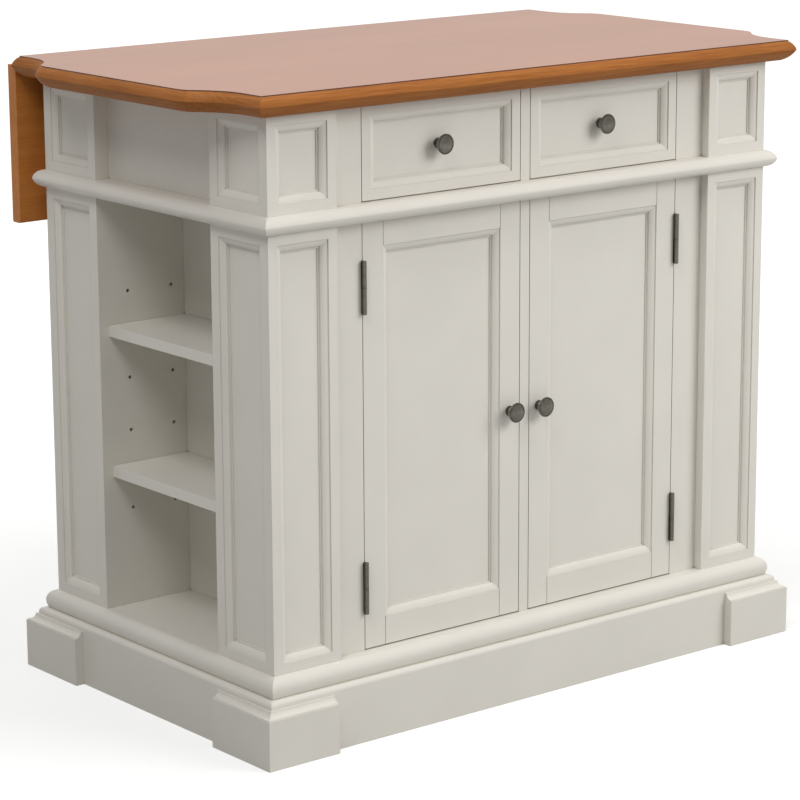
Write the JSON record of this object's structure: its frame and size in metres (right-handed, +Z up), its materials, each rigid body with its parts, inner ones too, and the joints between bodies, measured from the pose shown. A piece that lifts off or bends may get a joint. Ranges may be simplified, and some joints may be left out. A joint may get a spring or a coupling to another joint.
{
  "type": "drop leaf kitchen island",
  "caption": "Free-standing painted kitchen island with a moulded wood worktop, a drop leaf behind, panelled doors and drawers in front and an open shelf bay at each end.",
  "frame": {"origin": "on the floor under the middle of the whole object's bounding box, with the leaf hanging", "axes": "+Z up, -Y towards the doors and drawers, +X to the right when facing them"},
  "size_m": [1.067, 0.629, 0.914],
  "materials": {
    "painted_wood": "sprayed antique white satin paint",
    "painted_plinth": "sprayed antique white satin paint",
    "worktop_surface": "clear satin lacquer",
    "oak_edging": "orange brown stain under lacquer",
    "oak_leaf": "brown stain under lacquer",
    "drawer_birch": "clear lacquer",
    "pewter": "polished antique pewter plating",
    "steel": "zinc plated"
  },
  "bodies": {
    "cabinet": {"skirt_front": "painted_plinth", "skirt_back": "painted_plinth", "skirt_left": "painted_plinth", "skirt_right": "painted_plinth", "plinth_blocks": "painted_plinth", "base_moulding_front": "painted_wood", "base_moulding_back": "painted_wood", "base_moulding_left": "painted_wood", "base_moulding_right": "painted_wood", "bottom_board": "painted_wood", "pilaster_front_left": "painted_wood", "pilaster_front_right": "painted_wood", "pilaster_back_left": "painted_wood", "pilaster_back_right": "painted_wood", "partition_left": "painted_wood", "partition_right": "painted_wood", "middle_board": "painted_wood", "waist_moulding_front": "painted_wood", "waist_moulding_back": "painted_wood", "waist_moulding_left": "painted_wood", "waist_moulding_right": "painted_wood", "end_apron_left": "painted_wood", "end_apron_right": "painted_wood", "back_panel": "painted_wood", "face_stile_left": "painted_wood", "face_stile_right": "painted_wood", "face_stile_centre": "painted_wood", "drawer_partitions": "painted_wood", "top_stretchers": "painted_wood", "worktop_board": "worktop_surface", "worktop_edging": "oak_edging", "bay_shelf_left_lower": "painted_wood", "bay_shelf_left_upper": "painted_wood", "bay_shelf_right_lower": "painted_wood", "bay_shelf_right_upper": "painted_wood", "inside_shelf": "painted_wood", "shelf_pins": "steel", "drawer_runners": "drawer_birch", "door_hinge_frame_halves": "pewter", "door_catches": "steel", "leaf_hinge_plates": "steel", "stay_brackets": "steel"},
    "left_door": {"left_door_frame": "painted_wood", "left_door_panel": "painted_wood", "left_door_knob": "pewter", "left_door_hinge_halves": "pewter"},
    "right_door": {"right_door_frame": "painted_wood", "right_door_panel": "painted_wood", "right_door_knob": "pewter", "right_door_hinge_halves": "pewter"},
    "left_drawer": {"left_drawer_front": "painted_wood", "left_drawer_box": "drawer_birch", "left_drawer_knob": "pewter"},
    "right_drawer": {"right_drawer_front": "painted_wood", "right_drawer_box": "drawer_birch", "right_drawer_knob": "pewter"},
    "leaf": {"drop_leaf": "oak_leaf", "leaf_fittings": "steel"},
    "long_links": {"stay_long_links": "steel"},
    "short_links": {"stay_short_links": "steel"}
  },
  "joints": [
    {"name": "left_door_hinge", "type": "hinge", "parent": "cabinet", "child": "left_door", "pos_m": [-0.2919, -0.269, 0.421], "axis": [0, 0, -1], "range_deg": [0, 150]},
    {"name": "right_door_hinge", "type": "hinge", "parent": "cabinet", "child": "right_door", "pos_m": [0.2919, -0.269, 0.421], "axis": [0, 0, 1], "range_deg": [0, 150]},
    {"name": "left_drawer_slide", "type": "slide", "parent": "cabinet", "child": "left_drawer", "axis": [0, -1, 0], "range_m": [0, 0.32]},
    {"name": "right_drawer_slide", "type": "slide", "parent": "cabinet", "child": "right_drawer", "axis": [0, -1, 0], "range_m": [0, 0.32]},
    {"name": "leaf_hinge", "type": "hinge", "parent": "cabinet", "child": "leaf", "pos_m": [0, 0.2973, 0.8968], "axis": [1, 0, 0], "range_deg": [0, 90]},
    {"name": "long_link_pivot", "type": "hinge", "parent": "cabinet", "child": "long_links", "pos_m": [0, 0.2775, 0.836], "axis": [1, 0, 0], "range_deg": [0, 115.82]},
    {"name": "short_link_pivot", "type": "hinge", "parent": "leaf", "child": "short_links", "pos_m": [0, 0.2865, 0.8068], "axis": [1, 0, 0], "range_deg": [-114.47, 0]}
  ],
  "couplings": [
    {"joint": "long_link_pivot", "follows": "leaf_hinge", "ratio": 1.2869},
    {"joint": "short_link_pivot", "follows": "leaf_hinge", "ratio": -1.2719}
  ]
}
